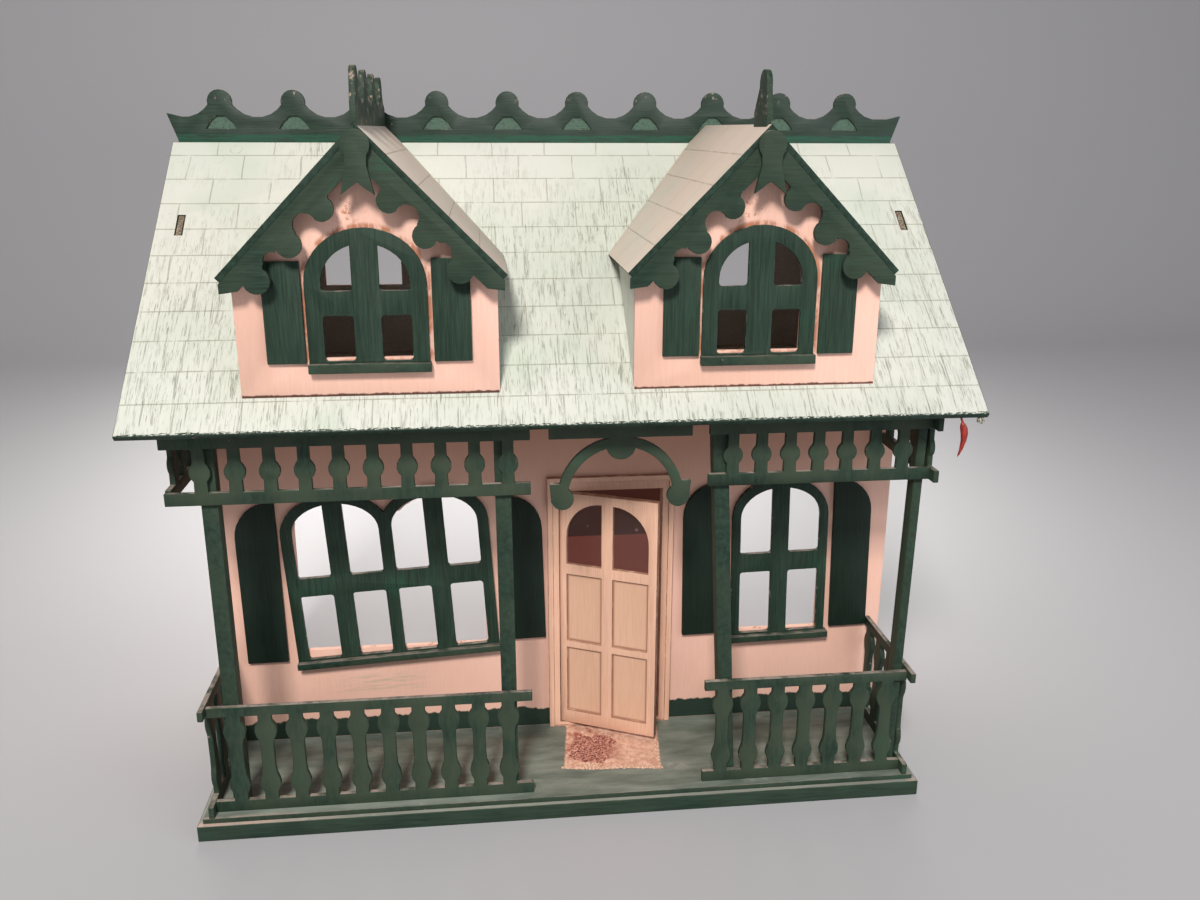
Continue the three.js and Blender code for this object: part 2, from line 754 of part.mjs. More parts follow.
// Bracket over the door: a half ring with ball ends hung from a bar
const barHalf = (friezeEnds.rightGap - friezeEnds.leftGap) / 2 - 10.1;
const arch = { x: (friezeEnds.leftGap + friezeEnds.rightGap) / 2 + 0.3, r: barHalf - 4.6, wide: 5.6 };
arch.inner = arch.r - arch.wide;
arch.z = ceilingZ - arch.r - 8.2;
const archBand = [
  ...ellipse(arch.x, arch.z, arch.r, arch.r, 0, 180, 24),
  ...ellipse(arch.x, arch.z, arch.inner, arch.inner, 180, 0, 24),
];
const archEnd = (side) => {
  const x = arch.x + side * (arch.r + arch.inner) / 2;
  const tip = [[x, arch.z + 9], [x + side * 7.2, arch.z + 9.2], [x + side * 6.4, arch.z - 2]];
  tip.push([x, arch.z - 4]);
  return join(
    facing(ring(x, arch.z, 6.4, 20), railFront),
    facing(side > 0 ? [...tip].reverse() : tip, railFront),
  );
};
place("door_arch_bracket", join(
  facing(archBand, railFront),
  facing(box2(arch.x - barHalf, arch.x + barHalf, ceilingZ - 8.6, ceilingZ), railFront),
  facing(ring(arch.x, arch.z + arch.r - 4.8, 8.4, 20), railFront),
  archEnd(-1),
  archEnd(1),
), "green");

// Dormers
const sash = {
  outer: 31,
  inner: 22.6,
  bottom: upperFloorZ + 35.4,
  spring: upperFloorZ + 76.5,
  rise: 28.3,
  innerRise: 20.3,
  mullion: 14,
  transom: [upperFloorZ + 60.2, upperFloorZ + 73],
};

function gableTrim(cx) {
  const lip = dormerSpan - 1.5;
  const wide = 15;
  const strip = [
    [0, dormerUnder(0)],
    [-lip, dormerUnder(lip)],
    [-lip, dormerUnder(lip) - 5],
    [-lip + 9, dormerUnder(lip) - wide + 9 * dormerSlope + 2],
    [0, dormerUnder(0) - wide],
    [lip - 9, dormerUnder(lip) - wide + 9 * dormerSlope + 2],
    [lip, dormerUnder(lip) - 5],
    [lip, dormerUnder(lip)],
  ].map(([x, z]) => [cx + x, z]);
  const parts = [facing(strip, panelFront)];
  const bites = [];
  for (const [side, first, fromLip] of [[-1, 18.4, 18.5], [1, 14.6, 22.5]]) {
    const last = lip - fromLip;
    const middle = (first + last) / 2;
    for (const [dx, size] of [[(first + middle) / 2, 6], [(middle + last) / 2, 4.6]]) {
      bites.push(facing(
        ring(cx + side * dx, dormerUnder(dx) - wide - 1.6, size, 18), panelFront - 1, ply + 2,
      ));
    }
    for (const [dx, size] of [[first, 6.2], [middle, 6.4], [last, 6.8]]) {
      const x = cx + side * dx;
      const z = dormerUnder(dx) - 17.5;
      parts.push(facing(ring(x, z, size, 18), panelFront));
      const stem = [[x - 3.6, z], [x + 3.6, z], [x + 3.6, z + 9], [x - 3.6, z + 9]];
      parts.push(facing(stem, panelFront));
    }
  }
  // Drop pendant on the apex: round head, waist and swallowtail foot
  const top = dormerUnder(0) + 1.6;
  const pendant = facing([
    [cx - 5.4, top - 12], [cx - 5, top - 17], [cx - 8.2, top - 31],
    [cx, top - 25], [cx + 8.2, top - 31], [cx + 5, top - 17], [cx + 5.4, top - 12],
    ...ellipse(cx, top - 7.2, 7.2, 7.2, -40, 220, 16),
  ], panelFront - ply, ply);
  return join(cut(join(...parts), ...bites), pendant);
}

for (const [side, cx] of dormers) {
  const above = aboveSlope(dormerFront - 20, crestFront);
  const crown = dormerUnder(0);
  const shoulder = dormerUnder(dormerHalf);
  place(`dormer_${side}_front`, within(facing([
    [cx - dormerHalf, eaveZ],
    [cx + dormerHalf, eaveZ],
    [cx + dormerHalf, shoulder],
    [cx, crown],
    [cx - dormerHalf, shoulder],
  ], dormerFront, ply, [
    archOutline(cx, sash.inner + 0.6, sash.bottom + 2.4, sash.spring, sash.innerRise + 1),
  ]), above), "pink");
  for (const [end, left] of [["inner", -1], ["outer", 1]]) {
    const outward = cx < 0 ? -left : left;
    const x0 = outward > 0 ? cx + dormerHalf - ply : cx - dormerHalf;
    place(`dormer_${side}_cheek_${end}`, within(
      block(x0, x0 + ply, dormerBack, crestFront, eaveZ, shoulder), above,
    ), "cream");
    const eave = [cx + outward * dormerSpan, dormerEave];
    const dx = outward * Math.sin(dormerAngle) * ply;
    const dz = Math.cos(dormerAngle) * ply;
    const slab = [
      [cx, dormerApex],
      eave,
      [eave[0] - dx, eave[1] - dz],
      [cx, dormerApex - dormerDrop],
    ];
    place(`dormer_${side}_roof_${end}`, within(
      facing(outward > 0 ? [...slab].reverse() : slab, panelFront, crestFront - panelFront),
      above,
    ), "cream");
  }
  place(`dormer_${side}_trim`, gableTrim(cx), "green");
  place(`dormer_${side}_window`, facing(
    archOutline(cx, sash.outer, sash.bottom, sash.spring, sash.rise, 20),
    dormerFront - 2, 2, archPanes(cx, sash),
  ), "green");
  place(`dormer_${side}_sill`, block(
    cx - sash.outer - 0.4, cx + sash.outer + 0.8, dormerFront - 5, dormerFront,
    sash.bottom - 5, sash.bottom,
  ), "green");
  for (const [end, way, gap, headRoom] of [["left", -1, 1.4, 9.1], ["right", 1, 2.4, 7.1]]) {
    const near = sash.outer + gap;
    const far = near + dormerShutterWidth;
    const x0 = way < 0 ? cx - far : cx + near;
    place(`dormer_${side}_shutter_${end}`, block(
      x0, x0 + dormerShutterWidth, dormerFront - 2.4, dormerFront,
      sash.bottom, dormerUnder(far) - headRoom,
    ), "green");
  }
}

// Dormer cresting runs back along each dormer ridge, bedded on the two panels
function bedded(cx, y0, y1, lift) {
  const saddle = ply / 2 * dormerSlope;
  const seat = dormerApex;
  const start = y0;
  const run = y1 - y0;
  const count = Math.floor((run - 18) / knobPitch) + 1;
  const knobsHere = Array.from({ length: count }, (_, i) => start + 10 + i * knobPitch);
  const line = [];
  line.push([y0, seat - saddle], [y1, seat - saddle], [y1, seat + lift]);
  for (const y of [...knobsHere].reverse()) {
    if (y + knobFoot < y1) {
      line.push([y + knobFoot, seat + 9.5]);
      line.push([y + 12, seat + 12]);
    }
    line.push(...ellipse(y, seat + 19.4, 7.2, 7.2, -12, 192, 8));
    if (y - knobFoot > y0) {
      line.push([y - 12, seat + 12]);
      line.push([y - knobFoot, seat + 9.5]);
    }
  }
  line.push([y0, seat + lift]);
  const wedge = facing([
    [cx, seat], [cx - 4, seat - 4 * dormerSlope], [cx + 4, seat - 4 * dormerSlope],
  ], y0 - 1, run + 2);
  return within(cut(sideways(line, cx - ply / 2), wedge), aboveSlope(y0 - 10, crestFront));
}
place("dormer_left_crest", bedded(
  -dormerCentre, panelFront + 0.6, crestFront - 0.2, 9.5,
), "green");
place("dormer_right_crest", bedded(
  dormerCentre, panelFront + 6, dormerFront + 22, 6,
), "green");

// Small pod hanging from the eave
const podIn = 4;
const eaveUnder = (inward) => eaveZ - nz + (inward - nx) * roofSlope;
const podTop = eaveUnder(podIn) - 0.35;
const podProfile = [
  [0, 0], [0.5, 1.5], [1, 5], [1.6, 10], [2, 14], [2.1, 17], [1.5, 19.4],
  [0.7, 20.4], [0.6, 24.6], [0, 24.6],
].map(([r, z]) => new THREE.Vector2(r, z));
const pod = new THREE.LatheGeometry(podProfile, 10);
pod.rotateX(Math.PI / 2);
const podAt = pod.attributes.position;
for (let i = 0; i < podAt.count; i += 1) {
  const z = podAt.getZ(i);
  const bend = Math.sin((24.6 - z) / 24.6 * Math.PI * 0.95) * 3.4;
  podAt.setX(i, podAt.getX(i) + bend);
}
pod.translate(halfWidth - 3, -eaveReach + podIn, podTop - 24.6);
place("eave_pod", cut(pod, sideways([
  [-eaveReach - 4, eaveUnder(-4) - 0.05],
  [-eaveReach + 12, eaveUnder(12) - 0.05],
  [-eaveReach + 12, eaveZ + 30],
  [-eaveReach - 4, eaveZ + 30],
], halfWidth - 20, 40)), "red");

export default group;
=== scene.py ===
import math
import random

import bmesh
import bpy
from mathutils import Matrix, Vector, noise


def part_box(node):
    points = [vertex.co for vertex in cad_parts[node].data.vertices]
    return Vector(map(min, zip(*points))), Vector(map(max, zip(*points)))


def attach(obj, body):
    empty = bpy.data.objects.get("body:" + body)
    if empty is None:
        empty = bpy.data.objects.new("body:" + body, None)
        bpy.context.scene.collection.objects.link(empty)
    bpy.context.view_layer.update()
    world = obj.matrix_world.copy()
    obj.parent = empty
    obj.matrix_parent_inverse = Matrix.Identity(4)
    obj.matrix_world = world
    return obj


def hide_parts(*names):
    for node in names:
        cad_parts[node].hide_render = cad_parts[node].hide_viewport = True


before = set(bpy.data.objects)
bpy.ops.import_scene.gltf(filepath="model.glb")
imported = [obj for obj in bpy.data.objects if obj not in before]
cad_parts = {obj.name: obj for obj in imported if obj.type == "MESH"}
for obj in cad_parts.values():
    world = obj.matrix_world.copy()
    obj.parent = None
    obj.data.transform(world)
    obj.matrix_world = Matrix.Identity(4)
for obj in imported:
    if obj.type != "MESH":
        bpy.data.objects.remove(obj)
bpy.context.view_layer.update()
print("frame loaded")

# Where things lie on the house, in millimetres
plan = {
    "eave": -100.4,  # front edge of the main roof
    "ridge": 71.7,  # how far back the ridge is
    "roofRise": 142.7,
    "roofRun": 172.1,
    "porchFront": -85.4,
    "dormers": (("left", -103.4), ("right", 103.4)),
    "dormerEave": -93.4,  # front edge of the dormer panels
    "dormerSlope": 1.02,
    "doorAjar": 25.0,
    "step": (32.0, -31.0),  # middle of the torn-off step covering
    "stepHalf": (31.0, 25.0),
    "stepTurn": -6.0,
    "deckTop": 13.15,
}
roofSlope = math.atan2(plan["roofRise"], plan["roofRun"])


# Every node is made here: its settings go in first, then what its sockets hold or take
def makeNode(tree, kind, settings=None, sockets=None):
    node = tree.nodes.new(kind)
    for name, value in (settings or {}).items():
        setattr(node, name, value)
    for key, value in (sockets or {}).items():
        if isinstance(value, Flow):
            value = value.socket
        if isinstance(value, bpy.types.NodeSocket):
            tree.links.new(value, node.inputs[key])
        else:
            node.inputs[key].default_value = value
    return node


# Shader maths: wraps a socket, so that an expression on it adds its own nodes
class Flow:
    def __init__(self, tree, socket):
        self.tree = tree
        self.socket = socket

    def into(self, kind, settings, sockets, output=0):
        made = makeNode(self.tree, kind, settings, sockets)
        return Flow(self.tree, made.outputs[output])

    def math(self, operation, *others):
        values = dict(enumerate((self,) + others))
        return self.into("ShaderNodeMath", {"operation": operation}, values)

    def __add__(self, other):
        return self.math("ADD", other)

    __radd__ = __add__

    def __sub__(self, other):
        return self.math("SUBTRACT", other)

    def __rsub__(self, other):
        return self.math("MULTIPLY", -1.0).math("ADD", other)

    def __mul__(self, other):
        return self.math("MULTIPLY", other)

    __rmul__ = __mul__

    def __truediv__(self, other):
        return self.math("DIVIDE", other)

    def size(self):
        return self.math("ABSOLUTE")

    def least(self, other):
        return self.math("MINIMUM", other)

    def most(self, other):
        return self.math("MAXIMUM", other)

    def floor(self):
        return self.math("FLOOR")

    def wrap(self, length):
        return self.math("FLOORED_MODULO", length)

    # 0 below low, 1 above high, smooth between
    def ease(self, low, high):
        return self.into(
            "ShaderNodeMapRange", {"interpolation_type": "SMOOTHSTEP"},
            {"Value": self, "From Min": low, "From Max": high}, "Result",
        )

    def axes(self):
        node = makeNode(self.tree, "ShaderNodeSeparateXYZ", None, {0: self})
        return [Flow(self.tree, output) for output in node.outputs]

    def scaled(self, x, y, z):
        return self.into(
            "ShaderNodeVectorMath", {"operation": "MULTIPLY"}, {0: self, 1: (x, y, z)}
        )

    def speckle(self, scale, detail=3.0, rough=0.5, seed=0.0):
        return self.into(
            "ShaderNodeTexNoise", {"noise_dimensions": "4D"},
            {"Vector": self, "W": seed, "Scale": scale, "Detail": detail, "Roughness": rough},
            "Fac",
        )

    def cells(self, scale, seed=0.0):
        return self.into(
            "ShaderNodeTexVoronoi", {"voronoi_dimensions": "4D"},
            {"Vector": self, "W": seed, "Scale": scale}, "Distance",
        )

    # Colour between low and high; sockets 6, 7 and output 2 are the colour ones
    def blend(self, low, high):
        low, high = [v if isinstance(v, Flow) else (*v, 1.0) for v in (low, high)]
        return self.into(
            "ShaderNodeMix", {"data_type": "RGBA", "clamp_factor": True},
            {0: self, 6: low, 7: high}, 2,
        )


# One material: mm is the spot in millimetres, facing is the way the surface looks
class Paint:
    def __init__(self, name):
        self.material = bpy.data.materials.new(name)
        self.material.use_nodes = True
        self.tree = self.material.node_tree
        self.surface = self.tree.nodes["Principled BSDF"]
        spot = makeNode(self.tree, "ShaderNodeTexCoord")
        self.mm = Flow(self.tree, spot.outputs["Object"]).scaled(1000, 1000, 1000)
        shape = makeNode(self.tree, "ShaderNodeNewGeometry")
        self.facing = Flow(self.tree, shape.outputs["Normal"])

    def put(self, name, value):
        if isinstance(value, Flow):
            self.tree.links.new(value.socket, self.surface.inputs[name])
        else:
            self.surface.inputs[name].default_value = value

    def colour(self, value):
        self.put("Base Color", value)

    def rough(self, value):
        self.put("Roughness", value)

    def gloss(self, value):
        self.put("Specular IOR Level", value)

    def relief(self, height, strength, depth):
        self.put("Normal", height.into(
            "ShaderNodeBump", None,
            {"Strength": strength, "Distance": depth, "Height": height}, "Normal",
        ))

    # Noise over two lengths measured on a slope
    def stretched(self, first, second, seed):
        flat = first.into("ShaderNodeCombineXYZ", None, {0: first, 1: second})
        return flat.speckle(1.0, 3, 0.6, seed)


# Green paint, brushed on thin ply: stretch says how fast the strokes change on x, y, z
greenLook = {
    "deep": (0.0080, 0.0210, 0.0140),
    "body": (0.0230, 0.0500, 0.0340),
    "olive": (0.0420, 0.0590, 0.0370),
    "fresh": (0.0160, 0.0850, 0.0500),
    # paintedShade is the near-black used as painted shade for pieces under the porch
    "paintedShade": (0.0050, 0.0110, 0.0070),
    "chip": (0.36, 0.27, 0.22),
    "dust": (0.33, 0.27, 0.235),
    "rough": 0.46,
    "gloss": 0.25,
}


def greenPaint(name, stretch, olive=0.0, fresh=0.6, chip=0.0, dust=0.5, seed=1.0, paintedShade=0.0):
    paint = Paint(name)
    brush = paint.mm.scaled(*stretch).speckle(1.0, 4, 0.62, seed)
    broad = paint.mm.speckle(0.028, 3, 0.55, seed + 4)
    fine = paint.mm.speckle(0.6, 4, 0.65, seed + 9)
    body = brush.ease(0.3, 0.72).blend(greenLook["deep"], greenLook["body"])
    body = (broad.ease(0.3, 0.6) * olive).blend(body, greenLook["olive"])
    vivid = broad.ease(0.55, 0.75) * brush.ease(0.35, 0.6) * fresh
    body = vivid.blend(body, greenLook["fresh"])
    # Painted shade: the body is darkened toward near-black for pieces that stand in shade under
    # the porch
    if paintedShade:
        body = (broad * 0.4 + paintedShade).blend(body, greenLook["paintedShade"])
    chips = fine.ease(0.725, 0.76)
    if chip:
        patch = paint.mm.speckle(0.17, 5, 0.7, seed + 2)
        chips = chips.most(patch.ease(0.68 - chip, 0.74 - chip) * fine.ease(0.4, 0.55))
    body = (chips * 0.85).blend(body, greenLook["chip"])
    up = paint.facing.axes()[2].ease(0.75, 0.95)
    dusty = paint.mm.speckle(0.09, 5, 0.65, seed + 6).ease(0.34, 0.62) * up * dust
    paint.colour(dusty.blend(body, greenLook["dust"]))
    paint.rough((brush * 0.2 + greenLook["rough"]) + dusty * 0.25)
    paint.relief(brush * 0.7 + fine * 0.6 - chips * 0.5, 0.4, 0.0005)
    paint.gloss(greenLook["gloss"])
    return paint.material


# Salmon wall paint, brushed upright, with a ragged green skirting on the porch side
pinkLook = {
    "body": (0.80, 0.470, 0.365),
    "pale": (0.86, 0.545, 0.450),
    "stain": (0.46, 0.17, 0.085),
    # edge is the painted shadow along the gap at the foot of a dormer front
    "edge": (0.11, 0.045, 0.030),
    "eaveShade": (0.34, 0.120, 0.045),
    "smear": (0.30, 0.36, 0.22),
    "outerFace": (0.2, 1.2),  # y over which the porch side gives way to the edges
    "skirtTop": 21.6,
    "skirtRagged": 10.0,
    "eaveShadeFrom": (150.0, 236.0),
    "foot": (253.2, 0.829),  # height of the roof at the eave, and its rise per mm back
    "glueReach": (1.0, 3.4),
    "blotUp": 7.0,
    "blotLeft": 9.0,
    "blotReach": (4.0, 15.0),
}
archLook = {"half": 31.0, "spring": 326.7, "rise": 28.3, "foot": 284.0}


# Old glue round an arched window insert, and a blot of it over the crown
def glueMarks(paint, body, arch, seed):
    x, y, z = paint.mm.axes()
    across = (x - arch["x"]).size() / arch["half"]
    over = (z - arch["spring"]).most(0.0) / arch["rise"]
    rim = ((across * across + over * over).math("SQRT") - 1.0) * arch["half"]
    rim = (1.0 - rim.ease(*pinkLook["glueReach"])) * z.ease(arch["foot"], arch["foot"] + 6)
    glue = paint.mm.scaled(1, 1, 0.35).speckle(0.13, 5, 0.7, seed + 11).ease(0.42, 0.54)
    body = (rim * glue * 0.9).blend(body, pinkLook["stain"])
    above = (z - arch["spring"] - arch["rise"] - pinkLook["blotUp"]).size()
    aside = (x - arch["x"] + pinkLook["blotLeft"]).size()
    head = 1.0 - (above + aside).ease(*pinkLook["blotReach"])
    blot = paint.mm.speckle(0.3, 5, 0.75, seed + 15).ease(0.52, 0.60)
    return (head * blot * 0.9).blend(body, pinkLook["stain"])


# smear is x, z, half width and half height of a faint green wipe
def pinkPaint(name, skirting=False, seed=3.0, scuffed=0.0, foot=None, arch=None, smear=None):
    paint = Paint(name)
    x, y, z = paint.mm.axes()
    strokes = paint.mm.scaled(0.9, 0.9, 0.07).speckle(1.0, 4, 0.6, seed)
    clouds = paint.mm.speckle(0.014, 3, 0.5, seed + 3)
    body = (strokes.ease(0.25, 0.75) * 0.55 + clouds.ease(0.3, 0.7) * 0.45).blend(
        pinkLook["body"], pinkLook["pale"]
    )
    flecks = paint.mm.speckle(0.9, 3, 0.6, seed + 5).ease(0.735, 0.775)
    body = (flecks * 0.8).blend(body, pinkLook["stain"])
    if scuffed:
        patch = paint.mm.speckle(0.12, 5, 0.7, seed + 7).ease(0.66 - scuffed, 0.70 - scuffed)
        body = (patch * 0.75).blend(body, pinkLook["stain"])
    if foot:
        # Painted shadow: a dark ragged line along the foot, in the gap where the dormer front
        # meets the roof
        footShadowLine = z - (y - plan["eave"]) * foot[1] - foot[0]
        footShadowLine = footShadowLine + paint.mm.speckle(0.3, 4, 0.6, seed) * 2.2
        body = (1.0 - footShadowLine.ease(1.9, 2.7)).blend(body, pinkLook["edge"])
    if arch:
        body = glueMarks(paint, body, arch, seed)
    if smear:
        spot = ((x - smear[0]).size() / smear[2]).most((z - smear[1]).size() / smear[3])
        wash = paint.mm.scaled(0.05, 1, 0.5).speckle(1.0, 4, 0.6, seed + 21).ease(0.42, 0.62)
        body = ((1.0 - spot.ease(0.3, 1.0)) * wash * 0.34).blend(body, pinkLook["smear"])
    if skirting:
        # Painted shade: the wall darkened to brown under the porch ceiling, then the skirting
        outside = 1.0 - y.ease(*pinkLook["outerFace"])
        eaveShade = z.ease(*pinkLook["eaveShadeFrom"]) * outside * (clouds * 0.3 + 0.42)
        body = eaveShade.blend(body, pinkLook["eaveShade"])
        ragged = paint.mm.scaled(1, 0, 0.35).speckle(0.075, 5, 0.7, seed + 8)
        top = ragged * pinkLook["skirtRagged"] + pinkLook["skirtTop"]
        band = (1.0 - (z - top).ease(-0.5, 0.7)) * outside
        dark = paint.mm.scaled(0.1, 1, 0.6).speckle(1.0, 3, 0.6).blend(
            greenLook["deep"], greenLook["body"]
        )
        body = band.blend(body, dark)
    paint.colour(body)
    paint.rough(strokes * 0.2 + 0.5)
    paint.relief(strokes + flecks * 0.4, 0.3, 0.0004)
    return paint.material


# Mint cream roof paint over scored shingles, cracked along the grain
roofLook = {
    "body": (0.540, 0.572, 0.510),
    "warm": (0.605, 0.612, 0.560),
    "mint": (0.455, 0.520, 0.435),
    "blush": (0.660, 0.520, 0.435),
    "crack": (0.15, 0.155, 0.095),
    "score": (0.24, 0.225, 0.150),
    "edge": (0.020, 0.032, 0.024),
    "row": 21.0,
    "wide": 33.5,
    "firstRow": 35.3,
    "waver": 5.0,
    "ringSize": 0.19,
    "gloss": 0.3,
}


# along and across turn a spot into lengths down and across the slope; along ends in an offset
def shinglePaint(
    name, along, across, cracks=1.0, lines=1.0, blush=0.0, seed=5.0, darkEdge=None
):
    paint = Paint(name)
    x, y, z = paint.mm.axes()
    run = x * along[0] + y * along[1] + z * along[2] + along[3]
    side = x * across[0] + y * across[1] + z * across[2]
    clouds = paint.mm.speckle(0.011, 4, 0.55, seed)
    tint = paint.mm.speckle(0.02, 3, 0.5, seed + 2)
    body = clouds.ease(0.35, 0.65).blend(roofLook["body"], roofLook["warm"])
    body = (tint.ease(0.52, 0.75) * 0.55).blend(body, roofLook["mint"])
    if blush:
        body = (blush * clouds.ease(0.2, 0.6)).blend(body, roofLook["blush"])
    rowAt = (run - roofLook["firstRow"]) / roofLook["row"]
    row = rowAt.floor()
    inRow = (rowAt - row) * roofLook["row"]
    shift = row.wrap(2.0) * (roofLook["wide"] / 2)
    waver = paint.mm.speckle(0.02, 2, 0.5, seed) * roofLook["waver"]
    inWide = (side + shift + waver).wrap(roofLook["wide"])
    rowGap = inRow.least(roofLook["row"] - inRow)
    wideGap = inWide.least(roofLook["wide"] - inWide)
    broken = paint.mm.speckle(0.11, 4, 0.6, seed + 1).ease(0.34, 0.52)
    score = (1.0 - rowGap.ease(0.14, 0.50)).most((1.0 - wideGap.ease(0.12, 0.45)) * 0.85)
    score = score * (broken * 0.8 + 0.2) * lines
    # Cracks lie where noise drawn out down the slope crosses its middle value
    density = paint.mm.speckle(0.018, 4, 0.6, seed + 6) + run * 0.0014 - 0.13
    splits = (paint.stretched(side * 0.6, run * 0.016, seed) - 0.5).size()
    splits = 1.0 - splits.ease(0.004, 0.022)
    splits = splits * paint.stretched(side * 0.3, run * 0.06, seed + 5).ease(0.46, 0.56)
    splits = splits * density.ease(0.36, 0.60) * cracks
    hair = (paint.stretched(side * 1.3, run * 0.03, seed + 3) - 0.5).size()
    hair = 1.0 - hair.ease(0.004, 0.030)
    hair = hair * paint.stretched(side * 0.5, run * 0.09, seed + 8).ease(0.50, 0.60)
    splits = splits.most(hair * density.ease(0.28, 0.55) * cracks * 0.55)
    body = (splits * 0.70).blend(body, roofLook["crack"])
    body = (score * 0.55).blend(body, roofLook["score"])
    rings = 1.0 - (paint.mm.cells(0.045, seed) - roofLook["ringSize"]).size().ease(0.0, 0.025)
    rings = rings * paint.mm.speckle(0.02, 3, 0.6, seed + 12).ease(0.55, 0.64)
    rings = rings * paint.mm.speckle(0.5, 2, 0.6).ease(0.42, 0.62)
    body = (rings * 0.4).blend(body, roofLook["score"])
    if darkEdge:
        ragged = (y - darkEdge) + paint.stretched(side * 0.5, run * 0.05, seed + 3) * 2.6
        body = (1.0 - ragged.ease(1.75, 2.3)).blend(body, roofLook["edge"])
    paint.colour(body)
    paint.rough(clouds * 0.15 + 0.55)
    paint.relief(1.0 - score * 1.6 - splits * 0.6 - rings * 0.3, 0.55, 0.0005)
    paint.gloss(roofLook["gloss"])
    return paint.material


# Bare pinkish wood of the door, grain upright; the panel lengths are middle, half pitch, half
doorLook = {
    "light": (0.84, 0.530, 0.395),
    "dark": (0.62, 0.340, 0.225),
    "panel": (0.60, 0.370, 0.240),
    "poresGrimeAndShade": (0.20, 0.075, 0.040),
    "pivot": (3.2, 0.1),
    "panelsAcross": (30.7, 15.675, 11.925),
    "panelsUp": (75.55, 26.125, 23.6),
    "foot": 17.0,
}


# panels is the angle the leaf stands at; 0 leaves them out
def doorWood(name, seed=11.0, dark=0.0, panels=0.0):
    paint = Paint(name)
    x, y, z = paint.mm.axes()
    grain = paint.mm.scaled(1.6, 1.6, 0.05).speckle(1.0, 5, 0.65, seed)
    tone = paint.mm.speckle(0.03, 3, 0.5, seed + 1)
    body = (grain.ease(0.3, 0.75) * 0.6 + tone * 0.3).blend(doorLook["light"], doorLook["dark"])
    pores = paint.mm.scaled(3.2, 3.2, 0.18).speckle(1.0, 3, 0.6, seed + 2).ease(0.68, 0.78)
    body = (pores * 0.5).blend(body, doorLook["poresGrimeAndShade"])
    if panels:
        # Painted shade lies along the rims of the sunk panels; the panels themselves are tinted a
        # little deeper
        pivotX, pivotY = doorLook["pivot"]
        along = (x - pivotX) * math.cos(panels) - (y - pivotY) * math.sin(panels)
        middle, pitch, half = doorLook["panelsAcross"]
        side = ((along - middle).size() - pitch).size() - half
        middle, pitch, half = doorLook["panelsUp"]
        rise = ((z - middle).size() - pitch).size() - half
        inside = side.most(rise) * -1.0
        # rim is the painted shade in the recess round each panel
        rim = 1.0 - (inside + grain * 0.8).ease(0.5, 2.3)
        body = (inside.ease(-0.1, 0.3) * 0.35).blend(body, doorLook["panel"])
        body = (inside.ease(-0.5, 0.1) * rim * 0.78).blend(body, doorLook["poresGrimeAndShade"])
        lip = 1.0 - (z - doorLook["foot"]).ease(0.0, 6.0)
        body = (lip * tone.ease(0.3, 0.6) * 0.4).blend(body, doorLook["dark"])
    # Painted shade and grime on the sawn faces: the dark recess walls round the panels and the
    # door's edges
    if dark:
        grimeAndShade = paint.mm.speckle(0.14, 4, 0.65, seed + 6).ease(0.25, 0.55)
        body = (grimeAndShade * dark).blend(body, doorLook["poresGrimeAndShade"])
    paint.colour(body)
    paint.rough(grain * 0.2 + 0.45)
    paint.relief(grain - pores, 0.25, 0.0003)
    return paint.material


# Worn porch deck
deckLook = {
    "body": (0.092, 0.118, 0.096),
    "light": (0.235, 0.262, 0.226),
    "milk": (0.46, 0.43, 0.38),
    "pink": (0.62, 0.40, 0.33),
    "bareDark": (0.56, 0.30, 0.21),
    "bareLight": (0.78, 0.50, 0.38),
    "backing": (0.26, 0.05, 0.03),
    "wornEnds": 212.0,
}


# patch bares the wood where the step covering was torn off
def deckPaint(name, seed=21.0, patch=False, lift=0.0):
    paint = Paint(name)
    x, y = paint.mm.axes()[:2]
    strokes = paint.mm.scaled(0.02, 0.09, 0.1).speckle(1.0, 5, 0.62, seed)
    milk = paint.mm.speckle(0.045, 6, 0.7, seed + 1)
    body = strokes.ease(0.3, 0.7).blend(deckLook["body"], deckLook["light"])
    body = (milk.ease(0.56, 0.74) * 0.6 + lift).blend(body, deckLook["milk"])
    ends = (x.size() - deckLook["wornEnds"]).ease(0.0, 5.0)
    ends = ends.most((1.0 - (x + 120.0).ease(-80.0, 0.0)) * 0.7)
    worn = (1.0 - (y - plan["porchFront"]).ease(1.0, 7.5)) * ends
    worn = worn * paint.mm.speckle(0.10, 5, 0.65, seed + 4).ease(0.36, 0.55)
    body = (worn * 0.85).blend(body, deckLook["pink"])
    if patch:
        turn = math.radians(plan["stepTurn"])
        stepX, stepY = plan["step"]
        halfX, halfY = plan["stepHalf"]
        a = (x - stepX) * math.cos(turn) + (y - stepY) * math.sin(turn)
        b = (y - stepY) * math.cos(turn) - (x - stepX) * math.sin(turn)
        out = (a.size() - halfX).most(b.size() - halfY)
        out = out + paint.mm.speckle(0.22, 5, 0.7, 7.0) * 4.0
        bare = paint.mm.speckle(0.3, 4, 0.65, 9.0).ease(0.35, 0.65)
        bare = bare.blend(deckLook["bareDark"], deckLook["bareLight"])
        red = paint.mm.speckle(0.12, 5, 0.7, 12.0).ease(0.46, 0.62)
        red = red * (1.0 - a.ease(-6.0, 12.0))
        bare = (red * 0.8).blend(bare, deckLook["backing"])
        body = (1.0 - out.ease(1.2, 2.4)).blend(body, bare)
    paint.colour(body)
    paint.rough(milk * 0.3 + 0.35)
    paint.relief(strokes + milk * 0.5, 0.25, 0.0004)
    return paint.material


def plain(name, colour, rough, metal=0.0, alpha=1.0):
    paint = Paint(name)
    paint.colour((*colour, 1.0))
    paint.rough(rough)
    paint.put("Metallic", metal)
    paint.put("Alpha", alpha)
    return paint.material


